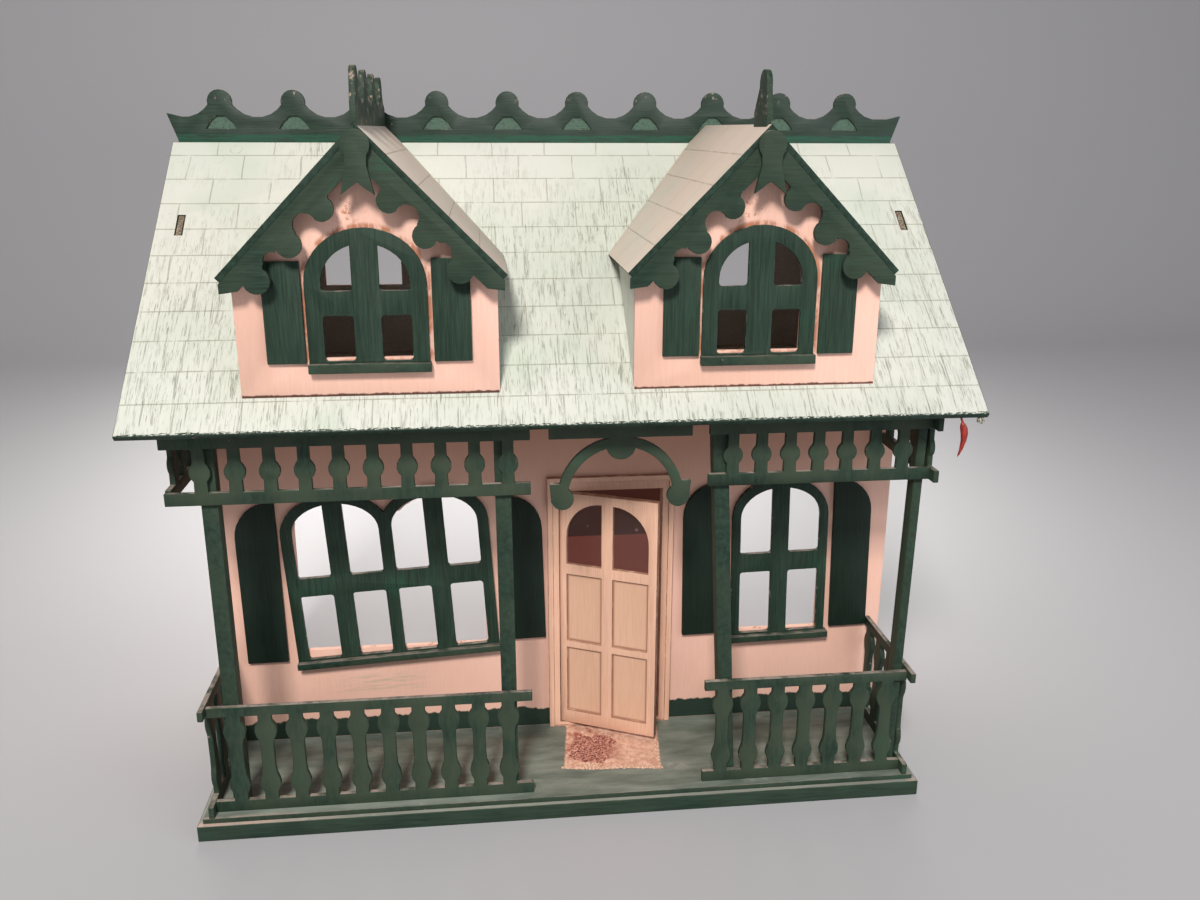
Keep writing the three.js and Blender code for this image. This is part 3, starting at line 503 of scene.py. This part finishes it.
# Two tones in small grains: crumbs, dried glue, sawn ply and distempered board
def grainPaint(name, dark, light):
    paint = Paint(name)
    grain = paint.mm.speckle(0.9, 4, 0.7, 2.0)
    paint.colour(grain.ease(0.42, 0.60).blend(dark, light))
    paint.rough(0.75)
    paint.relief(grain, 0.5, 0.0004)
    return paint.material


podLook = {"dark": (0.16, 0.010, 0.008), "light": (0.44, 0.035, 0.022)}


def podPaint(name):
    paint = Paint(name)
    grain = paint.mm.scaled(1, 1, 0.4).speckle(0.7, 3, 0.6, 5.0)
    paint.colour(grain.ease(0.3, 0.7).blend(podLook["dark"], podLook["light"]))
    paint.rough(grain * 0.3 + 0.3)
    paint.relief(grain, 0.35, 0.0004)
    return paint.material


# Ridge cresting: streaks along the grain, paler hollows, a fresh strip at the foot
crestLook = {
    "sheen": (0.045, 0.060, 0.055),
    "hollow": (0.085, 0.150, 0.110),
    "strip": (0.014, 0.085, 0.050),
    "fleck": (0.62, 0.34, 0.12),
    "hollowAt": 71.5,
    "foot": 395.7,
    "fleckTop": 402.0,
    "chipFrom": (417.0, 424.0),
    "gloss": 0.35,
}


def crestPaint(name):
    paint = Paint(name)
    y, z = paint.mm.axes()[1:]
    brush = paint.mm.scaled(0.045, 1.0, 1.5).speckle(1.0, 4, 0.62, 3.0)
    fine = paint.mm.speckle(0.6, 4, 0.65, 5.0)
    body = brush.ease(0.3, 0.72).blend(greenLook["deep"], greenLook["body"])
    sheen = paint.mm.speckle(0.03, 3, 0.5, 8.0).ease(0.4, 0.7)
    body = (sheen * 0.5).blend(body, crestLook["sheen"])
    broadBrush = paint.mm.scaled(0.05, 1, 0.6).speckle(1.0, 3, 0.6, 31.0).ease(0.3, 0.6)
    sunk = 1.0 - (y - crestLook["hollowAt"]).size().ease(0.25, 0.4)
    body = (sunk * fine.ease(0.3, 0.5) * 0.8).blend(body, crestLook["hollow"])
    strip = 1.0 - (z - crestLook["foot"] - fine * 3.0).ease(0.9, 2.2)
    body = (strip * broadBrush * 0.8).blend(body, crestLook["strip"])
    flecks = paint.mm.speckle(0.30, 3, 0.6, 15.0).ease(0.73, 0.76)
    flecks = flecks * (1.0 - (z - crestLook["fleckTop"]).ease(0, 6))
    body = flecks.blend(body, crestLook["fleck"])
    chips = paint.mm.speckle(0.25, 5, 0.7, 25.0).ease(0.60, 0.64)
    chips = chips * z.ease(*crestLook["chipFrom"])
    body = (chips.most(fine.ease(0.74, 0.77)) * 0.8).blend(body, greenLook["chip"])
    paint.colour(body)
    paint.rough(brush * 0.2 + 0.44)
    paint.relief(brush * 0.8 + fine * 0.5, 0.4, 0.0005)
    paint.gloss(crestLook["gloss"])
    return paint.material


# Papered inner face of the hall wall: dark flowered paper over a pink dado
paperLook = {
    "ground": (0.13, 0.050, 0.040),
    "petal": (0.80, 0.66, 0.62),
    "dado": (0.60, 0.21, 0.17),
    "dot": (0.85, 0.74, 0.70),
    "dadoTop": (103.0, 104.2),
}


def hallPaper(name):
    paint = Paint(name)
    flat = paint.mm.scaled(1, 0, 1)
    petals = 1.0 - flat.cells(0.11, 2.0).ease(0.14, 0.24)
    upper = petals.blend(paperLook["ground"], paperLook["petal"])
    dots = 1.0 - flat.cells(0.16, 5.0).ease(0.10, 0.16)
    lower = dots.blend(paperLook["dado"], paperLook["dot"])
    z = paint.mm.axes()[2]
    paint.colour(z.ease(*paperLook["dadoTop"]).blend(lower, upper))
    paint.rough(0.6)
    return paint.material


# Rows of the main roof count down from the ridge on both slopes
perMm = 1.0 / math.cos(roofSlope)
frontRun = (0.0, -perMm, 0.0, plan["ridge"] * perMm)
rearRun = (0.0, perMm, 0.0, -plan["ridge"] * perMm + roofLook["firstRow"])
sideways, endways = (1, 0, 0), (0, 1, 0)
allWays = (0.3, 0.3, 0.3)
looks = {
    "greenAcross": greenPaint("green_across", (0.05, 0.7, 1.1), olive=0.55, seed=1.0),
    "greenUpright": greenPaint("green_upright", (1.1, 0.7, 0.05), olive=0.15, seed=2.0),
    # The ground-floor shutters take a copy of the green with painted shade, as they stand under
    # the porch
    "greenPaintedShade": greenPaint("green_painted_shade", (1.1, 0.7, 0.05), fresh=0.35, seed=5.0, paintedShade=0.5),
    "greenRail": greenPaint("green_rail", (0.6, 0.7, 0.12), olive=0.85, fresh=0.35, seed=27.0),
    "greenPale": greenPaint("green_pale", (0.35, 0.7, 0.9), olive=0.9, fresh=0.9, seed=33.0),
    "greenDeep": greenPaint("green_deep", (0.05, 0.6, 0.9), olive=0.3, fresh=0.2, seed=6.0),
    "greenEdge": greenPaint("green_edge", allWays, olive=0.4, chip=0.02, dust=0.9, seed=8.0),
    "railEdge": greenPaint("rail_edge", allWays, olive=0.6, chip=0.05, dust=1.0, seed=12.0),
    "insertEdge": greenPaint("insert_edge", allWays, chip=0.14, dust=0.9, seed=14.0),
    "knobPaint": greenPaint("knob_paint", (0.2, 0.9, 0.9), olive=0.4, chip=0.12, seed=19.0),
    "roofEdge": greenPaint("roof_edge", allWays, fresh=0.1, chip=0.03, dust=0.2, seed=23.0),
    "crest": crestPaint("crest_paint"),
    "pinkWall": pinkPaint("pink_wall", skirting=True, smear=(-118.0, 52.0, 38.0, 9.0)),
    "pinkInside": pinkPaint("pink_inside", seed=31.0),
    "pinkEdge": pinkPaint("pink_edge", seed=37.0, scuffed=0.09),
    "atticPale": grainPaint("attic_pale", (0.72, 0.66, 0.60), (0.84, 0.79, 0.73)),
    "roofFront": shinglePaint("roof_front", frontRun, sideways, darkEdge=plan["eave"]),
    "roofRear": shinglePaint("roof_rear", rearRun, sideways, cracks=0.5),
    "cheek": shinglePaint("cheek", (0, 0, 1, 0), endways, cracks=0.35, lines=0.0, seed=9.0),
    "door": doorWood("door_wood", panels=math.radians(plan["doorAjar"])),
    "casing": doorWood("casing_wood", seed=41.0),
    "doorEdgeGrimeAndShade": doorWood("door_edge_grime_and_shade", seed=45.0, dark=0.72),
    "deck": deckPaint("deck", patch=True),
    "baseTop": deckPaint("base_top", seed=52.0, lift=0.38),
    "paper": hallPaper("hall_paper"),
    "sawnPly": grainPaint("sawn_ply", (0.10, 0.075, 0.050), (0.30, 0.240, 0.175)),
    "brass": plain("brass", (0.62, 0.44, 0.18), 0.35, metal=1.0),
    "clear": plain("clear_sheet", (0.10, 0.09, 0.09), 0.06, alpha=0.13),
    "pod": podPaint("pod_red"),
}
for side, middle in plan["dormers"]:
    looks["dormerFront" + side] = pinkPaint(
        f"dormer_front_{side}", seed=17.0 + middle, foot=pinkLook["foot"],
        arch={"x": middle, **archLook},
    )
    for end in ("inner", "outer"):
        # Rows count down from the dormer's own ridge, to whichever side the panel lies
        low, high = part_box(f"dormer_{side}_roof_{end}")
        way = 1.0 if (low[0] + high[0]) / 2 > middle / 1000 else -1.0
        fall = way * math.hypot(1.0, plan["dormerSlope"])
        looks[f"panel{side}{end}"] = shinglePaint(
            f"panel_{side}_{end}", (fall, 0, 0, -fall * middle + roofLook["firstRow"]),
            endways, cracks=0.2, lines=0.8, blush=0.8, seed=way + middle,
            darkEdge=plan["dormerEave"],
        )
print("paints mixed")


def link(name, data):
    piece = bpy.data.objects.new(name, data)
    bpy.context.scene.collection.objects.link(piece)
    return piece


# One material all over, whatever the piece had
def repaint(piece, look):
    piece.data.materials.clear()
    piece.data.materials.append(looks[look])


# Apply whatever modifiers a piece carries and keep the result as a plain mesh
def settle(piece):
    graph = bpy.context.evaluated_depsgraph_get()
    done = bpy.data.meshes.new_from_object(piece.evaluated_get(graph))
    piece.modifiers.clear()
    piece.data = done
    done.name = piece.name


# Cut sheet: broad faces take the face paint, sawn edges and eased arrises the edge paint
sheetLook = {"ease": 0.00028, "segments": 2, "angle": 30.0, "broad": 0.5, "flat": 0.4}


def dress(node, face, edge, body="house", ease=sheetLook["ease"]):
    shape = bmesh.new()
    shape.from_mesh(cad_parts[node].data)
    bmesh.ops.remove_doubles(shape, verts=shape.verts, dist=1e-6)
    bmesh.ops.dissolve_limit(
        shape, angle_limit=math.radians(sheetLook["flat"]), verts=shape.verts,
        edges=shape.edges,
    )
    shape.normal_update()
    broad = max(shape.faces, key=lambda f: f.calc_area()).normal.copy()
    for polygon in shape.faces:
        polygon.smooth = True
        polygon.material_index = int(abs(polygon.normal.dot(broad)) <= sheetLook["broad"])
    mesh = bpy.data.meshes.new(node + "_look")
    shape.to_mesh(mesh)
    shape.free()
    mesh.materials.append(looks[face])
    mesh.materials.append(looks[edge])
    piece = link(node + "_look", mesh)
    arris = piece.modifiers.new("arris", "BEVEL")
    arris.width = ease
    arris.segments = sheetLook["segments"]
    arris.limit_method = "ANGLE"
    arris.angle_limit = math.radians(sheetLook["angle"])
    arris.harden_normals = True
    arris.material = 1
    settle(piece)
    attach(piece, body)
    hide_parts(node)
    return piece


dress("base_board", "baseTop", "greenDeep", ease=0.0005)
dress("floor_board", "deck", "railEdge", ease=0.0004)
dress("second_floor", "atticPale", "pinkEdge")
dress("front_wall", "pinkWall", "pinkEdge")
dress("wall_left", "pinkInside", "sawnPly")
dress("wall_right", "pinkInside", "sawnPly")
dress("hall_back_wall", "paper", "pinkEdge")
dress("attic_back_wall", "atticPale", "pinkEdge")
dress("roof_front", "roofFront", "roofEdge", ease=0.0004)
dress("roof_rear", "roofRear", "roofEdge", ease=0.0004)
dress("ridge_crest", "crest", "knobPaint")
for side in ("left", "right"):
    dress(f"window_{side}", "greenUpright", "insertEdge", ease=0.0004)
for side in ("left", "right"):
    dress(f"window_sill_{side}", "greenAcross", "railEdge", ease=0.0004)
for place in ("left_outer", "left_inner", "right_inner", "right_outer"):
    dress(f"shutter_{place}", "greenPaintedShade", "greenPaintedShade", ease=0.0005)
for kind in ("rail", "frieze"):
    for place in ("front_left", "front_right", "side_left", "side_right"):
        dress(f"{kind}_{place}", "greenRail", "railEdge", ease=0.0004)
dress("door_arch_bracket", "greenPale", "greenEdge", ease=0.0004)
for place in ("left_corner", "left_inner", "right_inner", "right_corner"):
    dress(f"post_{place}", "greenRail", "greenEdge", ease=0.0004)
# The sawn faces of casing and door take painted shade and grime
dress("door_casing", "casing", "doorEdgeGrimeAndShade", ease=0.0002)
dress("door_leaf", "door", "doorEdgeGrimeAndShade", body="door", ease=0.0002)
for name in ("door_pin_top", "door_pin_bottom"):
    repaint(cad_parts[name], "brass")
for side, middle in plan["dormers"]:
    dress(f"dormer_{side}_front", "dormerFront" + side, "pinkEdge")
    for end in ("inner", "outer"):
        dress(f"dormer_{side}_cheek_{end}", "cheek", "roofEdge")
        dress(f"dormer_{side}_roof_{end}", f"panel{side}{end}", "roofEdge")
    dress(f"dormer_{side}_trim", "greenAcross", "greenEdge", ease=0.0004)
    dress(f"dormer_{side}_window", "greenUpright", "insertEdge", ease=0.0004)
    dress(f"dormer_{side}_sill", "greenAcross", "railEdge", ease=0.0004)
    for end in ("left", "right"):
        leaf = f"dormer_{side}_shutter_{end}"
        dress(leaf, "greenUpright", "greenEdge", ease=0.0005)
    dress(f"dormer_{side}_crest", "knobPaint", "knobPaint")
print("sheet pieces dressed")

# Clear sheet in the door, and the pod on the eave
glass = dress("door_glass", "clear", "clear", body="door", ease=0.0001)
repaint(glass, "clear")
repaint(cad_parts["eave_pod"], "pod")


# Scatter small bits over a patch: every bit is a squashed ball or a splinter
def scatterTree(name, ball):
    tree = bpy.data.node_groups.new(name, "GeometryNodeTree")
    face = tree.interface
    face.new_socket("Patch", in_out="INPUT", socket_type="NodeSocketGeometry")
    for label in ("Per mm2", "Smallest", "Largest", "Long", "Flat", "Turn"):
        face.new_socket(label, in_out="INPUT", socket_type="NodeSocketFloat")
    face.new_socket("Seed", in_out="INPUT", socket_type="NodeSocketInt")
    face.new_socket("Finish", in_out="INPUT", socket_type="NodeSocketMaterial")
    face.new_socket("Bits", in_out="OUTPUT", socket_type="NodeSocketGeometry")

    def node(kind, sockets=None, **settings):
        return makeNode(tree, kind, settings, sockets).outputs

    def product(first, second):
        return node("ShaderNodeMath", {0: first, 1: second}, operation="MULTIPLY")[0]

    def between(low, high, more):
        return node("FunctionNodeRandomValue", {2: low, 3: high, **more}, data_type="FLOAT")[1]

    given = node("NodeGroupInput")
    strew = node("GeometryNodeDistributePointsOnFaces", {
        "Mesh": given["Patch"], "Density": product(given["Per mm2"], 1e6),
        "Seed": given["Seed"],
    })
    if ball:
        bit = node("GeometryNodeMeshIcoSphere", {"Radius": 0.001, "Subdivisions": 2})
    else:
        bit = node("GeometryNodeMeshCube", {"Size": (0.001, 0.001, 0.001)})
    size = between(given["Smallest"], given["Largest"], {"Seed": given["Seed"]})
    scale = node("ShaderNodeCombineXYZ", {
        0: product(size, given["Long"]), 1: size, 2: product(size, given["Flat"]),
    })
    spin = between(product(given["Turn"], -1.0), given["Turn"], {})
    twist = node("ShaderNodeCombineXYZ", {2: spin})
    turned = node(
        "FunctionNodeRotateRotation", {0: strew["Rotation"], 1: twist[0]},
        rotation_space="LOCAL",
    )
    laid = node("GeometryNodeInstanceOnPoints", {
        "Points": strew["Points"], "Instance": bit["Mesh"], "Rotation": turned[0],
        "Scale": scale[0],
    })
    real = node("GeometryNodeRealizeInstances", {0: laid[0]})
    coated = node(
        "GeometryNodeSetMaterial", {"Geometry": real[0], "Material": given["Finish"]}
    )
    node("NodeGroupOutput", {0: coated[0]})
    return tree


# patches are outlines in millimetres
def scatter(name, tree, patches, finish, bits):
    mesh = bpy.data.meshes.new(name)
    points = [[c / 1000 for c in point] for patch in patches for point in patch]
    faces, start = [], 0
    for patch in patches:
        faces.append(list(range(start, start + len(patch))))
        start += len(patch)
    mesh.from_pydata(points, [], faces)
    piece = link(name, mesh)
    maker = piece.modifiers.new("scatter", "NODES")
    maker.node_group = tree
    values = {**bits, "Finish": finish}
    for item in tree.interface.items_tree:
        if item.in_out == "INPUT" and item.name in values:
            maker[item.identifier] = values[item.name]
    settle(piece)
    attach(piece, "house")


# Torn-off step covering: crumbs of red backing and a pale ragged front lip
residueLook = {
    "dark": (0.15, 0.030, 0.022), "light": (0.66, 0.32, 0.24),
    "bits": {"Per mm2": 1.1, "Smallest": 0.35, "Largest": 1.25, "Long": 1.3, "Flat": 0.62,
             "Turn": 3.1, "Seed": 3},
}
lipLook = {
    "dark": (0.52, 0.26, 0.17), "light": (0.86, 0.62, 0.48),
    "bits": {"Per mm2": 2.2, "Smallest": 0.25, "Largest": 0.8, "Long": 1.7, "Flat": 0.4,
             "Turn": 3.1, "Seed": 8},
}
ovalLook = {"corners": 18, "least": 0.82, "ragged": 0.18}
crumbs = scatterTree("crumbs", True)
splinters = scatterTree("splinters", False)


def stepSpot(a, b):
    turn = math.radians(plan["stepTurn"])
    x = plan["step"][0] + a * math.cos(turn) - b * math.sin(turn)
    y = plan["step"][1] + a * math.sin(turn) + b * math.cos(turn)
    return (x, y, plan["deckTop"])


# Ragged oval, placed along and across the step
def stepPatch(cx, cy, rx, ry, seed):
    dice = random.Random(seed)
    ring = []
    for i in range(ovalLook["corners"]):
        angle = 2 * math.pi * i / ovalLook["corners"]
        reach = ovalLook["least"] + ovalLook["ragged"] * dice.random()
        ring.append(stepSpot(cx + rx * reach * math.cos(angle), cy + ry * reach * math.sin(angle)))
    return ring


scatter(
    "step_residue", crumbs,
    [stepPatch(-15, -7, 14, 14, 4), stepPatch(-8, 3, 11, 9, 5), stepPatch(-20, 6, 6, 7, 6)],
    grainPaint("step_residue", residueLook["dark"], residueLook["light"]),
    residueLook["bits"],
)
scatter(
    "step_lip", crumbs,
    [stepPatch(x, -24.3 + 0.7 * math.sin(x), 4.8, 1.3, x + 60) for x in range(-28, 29, 7)]
    + [stepPatch(-14, -21, 8, 2.6, 9), stepPatch(29.5, -4, 1.2, 15, 12)],
    grainPaint("step_lip", lipLook["dark"], lipLook["light"]),
    lipLook["bits"],
)
print("step residue laid")

# Splintered ply along the cut eave of the main roof
frayLook = {
    "half": 231.5, "front": -99.75, "slopeTop": 253.25, "back": 0.4, "deep": 0.7,
    "bits": {"Per mm2": 1.1, "Smallest": 0.15, "Largest": 0.32, "Long": 7.0, "Flat": 0.8,
             "Turn": 0.35, "Seed": 11},
}
slopeRise = math.tan(roofSlope)
eaveTop = frayLook["slopeTop"] + frayLook["back"] * slopeRise
strip = [
    (way * frayLook["half"], frayLook["front"] + deep, eaveTop + deep * slopeRise)
    for way, deep in ((-1, 0.0), (1, 0.0), (1, frayLook["deep"]), (-1, frayLook["deep"]))
]
scatter("eave_fray", splinters, [strip], looks["roofEdge"], frayLook["bits"])

# Drop of speckled glue under the right end of the eave
dropLook = {
    "at": (0.2290, -0.0968, 0.2490), "size": (0.0022, 0.0017, 0.0021),
    "dark": (0.10, 0.09, 0.06), "light": (0.72, 0.70, 0.62),
    "lumps": ((0.22, 1.7), (0.08, 5.0)),  # how high, and how many to the radius
}
drop = bmesh.new()
bmesh.ops.create_icosphere(drop, subdivisions=4, radius=1.0)
for vert in drop.verts:
    lump = 1.0
    for high, often in dropLook["lumps"]:
        lump = lump + high * noise.noise(vert.co * often)
    vert.co = Vector(
        dropLook["at"][i] + vert.co[i] * lump * dropLook["size"][i] for i in range(3)
    )
dropMesh = bpy.data.meshes.new("glue_drop")
drop.to_mesh(dropMesh)
drop.free()
for polygon in dropMesh.polygons:
    polygon.use_smooth = True
dropMesh.materials.append(grainPaint("glue_drop", dropLook["dark"], dropLook["light"]))
glueDrop = link("glue_drop", dropMesh)
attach(glueDrop, "house")
print("small pieces dressed")

# Floor and backdrop in one sweep
sweepLook = {
    "front": -1.6, "bend": 1.3, "radius": 0.7, "top": 3.2, "half": 3.4, "steps": 12,
    "colour": (0.425, 0.425, 0.447), "rough": 0.6,
}
profile = [(sweepLook["front"], 0.0), (sweepLook["bend"], 0.0)]
for step in range(1, sweepLook["steps"] + 1):
    turn = math.radians(90 * step / sweepLook["steps"])
    profile.append((
        sweepLook["bend"] + sweepLook["radius"] * math.sin(turn),
        sweepLook["radius"] * (1 - math.cos(turn)),
    ))
profile.append((profile[-1][0], sweepLook["top"]))
sweepMesh = bpy.data.meshes.new("sweep")
points = [(x, y, z) for y, z in profile for x in (-sweepLook["half"], sweepLook["half"])]
faces = [(2 * i, 2 * i + 1, 2 * i + 3, 2 * i + 2) for i in range(len(profile) - 1)]
sweepMesh.from_pydata(points, [], faces)
for polygon in sweepMesh.polygons:
    polygon.use_smooth = True
sweepMesh.materials.append(plain("sweep", sweepLook["colour"], sweepLook["rough"]))
sweep = link("sweep", sweepMesh)

# Pale surround, soft key from the upper left, weak fill, and a lamp low down at the back
surroundLook = {"colour": (0.93, 0.90, 0.90, 1.0), "strength": 0.29}
world = bpy.data.worlds.new("surround")
bpy.context.scene.world = world
world.use_nodes = True
background = world.node_tree.nodes["Background"]
background.inputs["Color"].default_value = surroundLook["colour"]
background.inputs["Strength"].default_value = surroundLook["strength"]
lamps = {
    "key": {"at": (-0.46, -1.90, 1.95), "aim": (0.0, 0.0, 0.2), "size": 0.46,
            "power": 72.0, "colour": (1.0, 0.96, 0.90)},
    "fill": {"at": (1.7, -1.2, 0.9), "aim": (0.0, 0.0, 0.2), "size": 1.4,
             "power": 12.0, "colour": (0.85, 0.92, 1.0)},
    "rear": {"at": (0.0, 0.70, 0.36), "aim": (0.0, 0.70, 0.0), "size": 0.85,
             "power": 6.6, "colour": (1.0, 0.96, 0.90)},
}
for name, lamp in lamps.items():
    data = bpy.data.lights.new(name, "AREA")
    data.energy = lamp["power"]
    data.size = lamp["size"]
    data.color = lamp["colour"]
    light = link(name, data)
    light.location = lamp["at"]
    beam = Vector(lamp["aim"]) - Vector(lamp["at"])
    light.rotation_euler = beam.to_track_quat("-Z", "Y").to_euler()
    light.visible_camera = False

cameraLook = {
    "at": (-0.043593, -0.633032, 0.402447),
    "yaw": -0.111,
    "pitch": -0.296,
    "roll": -0.003,
    "lens": 31.524,
    "sensor": 36,
    "near": 0.01,
}
eye = bpy.data.cameras.new("camera")
eye.lens = cameraLook["lens"]
eye.sensor_width = cameraLook["sensor"]
eye.clip_start = cameraLook["near"]
camera = link("camera", eye)
turn = (
    Matrix.Rotation(cameraLook["yaw"], 4, "Z")
    @ Matrix.Rotation(cameraLook["pitch"], 4, "X")
    @ Matrix.Rotation(cameraLook["roll"], 4, "Y")
    @ Matrix.Rotation(math.radians(90), 4, "X")
)
camera.matrix_world = Matrix.Translation(cameraLook["at"]) @ turn
bpy.context.scene.camera = camera
bpy.context.scene.view_settings.view_transform = "Standard"
print("stage set")
